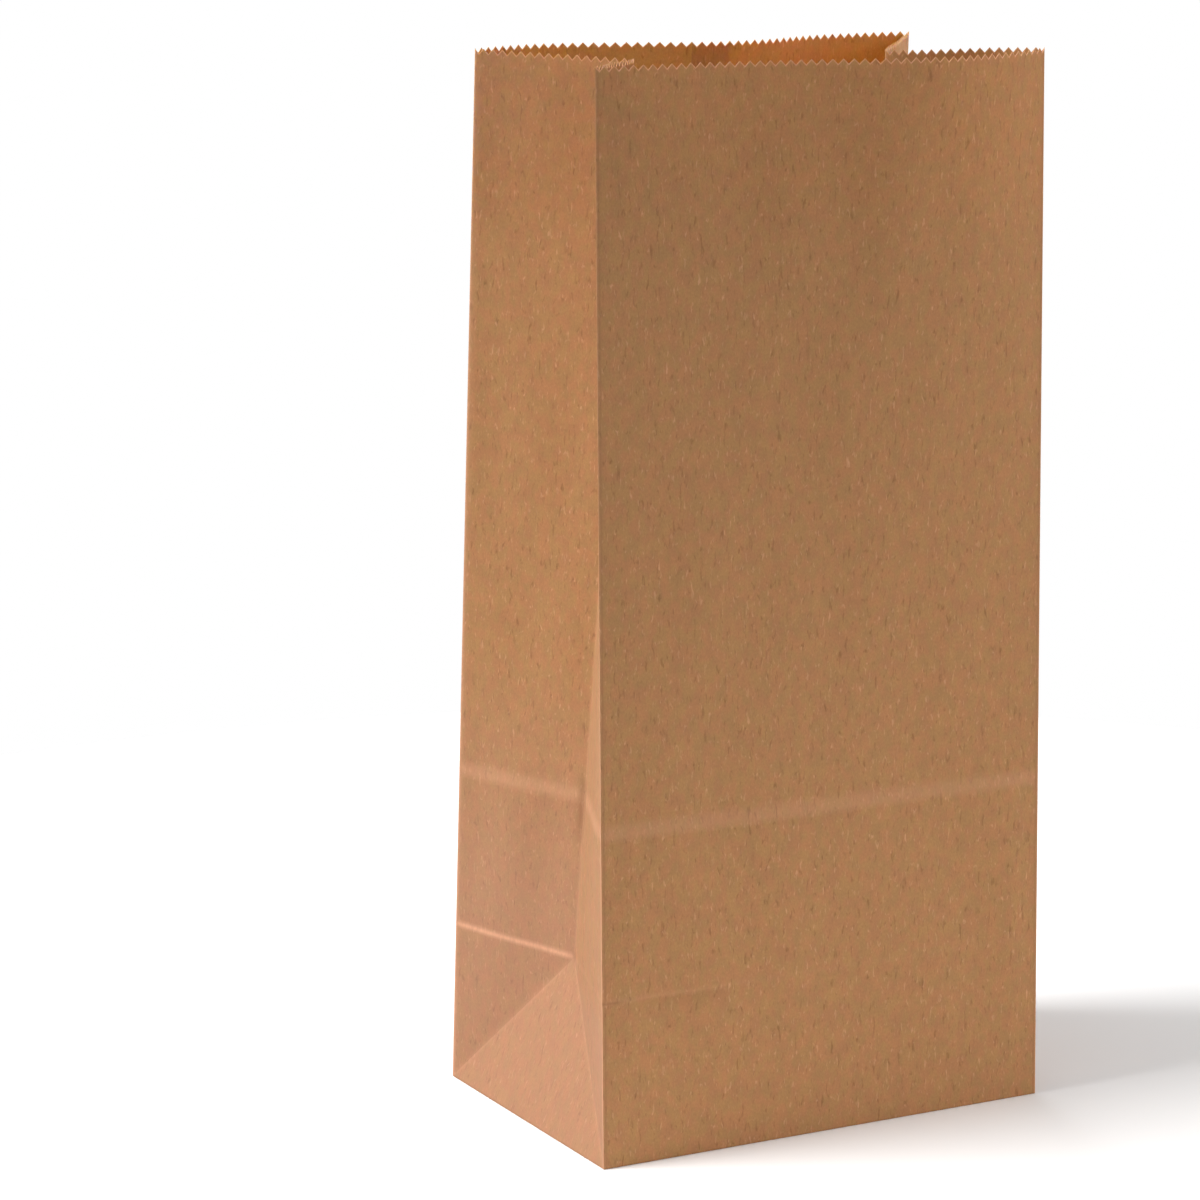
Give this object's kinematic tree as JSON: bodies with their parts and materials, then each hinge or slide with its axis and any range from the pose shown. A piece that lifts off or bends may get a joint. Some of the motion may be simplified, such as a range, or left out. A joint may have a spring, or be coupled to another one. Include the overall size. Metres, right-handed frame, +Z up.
{
  "type": "paper bag",
  "caption": "Open kraft paper bag with tucked side gussets, a folded and glued block bottom and a serrated mouth, standing on its base.",
  "frame": {"origin": "middle of the base, on the underside of the outer bottom flap", "axes": "+Z up from base to mouth, -Y out of the front panel, +X to the right along the front panel"},
  "size_m": [0.1636, 0.1115, 0.3397],
  "materials": {
    "kraft_paper": "unbleached machine-finished kraft, matt"
  },
  "bodies": {
    "root": {"paper_bag": "kraft_paper"}
  },
  "joints": []
}
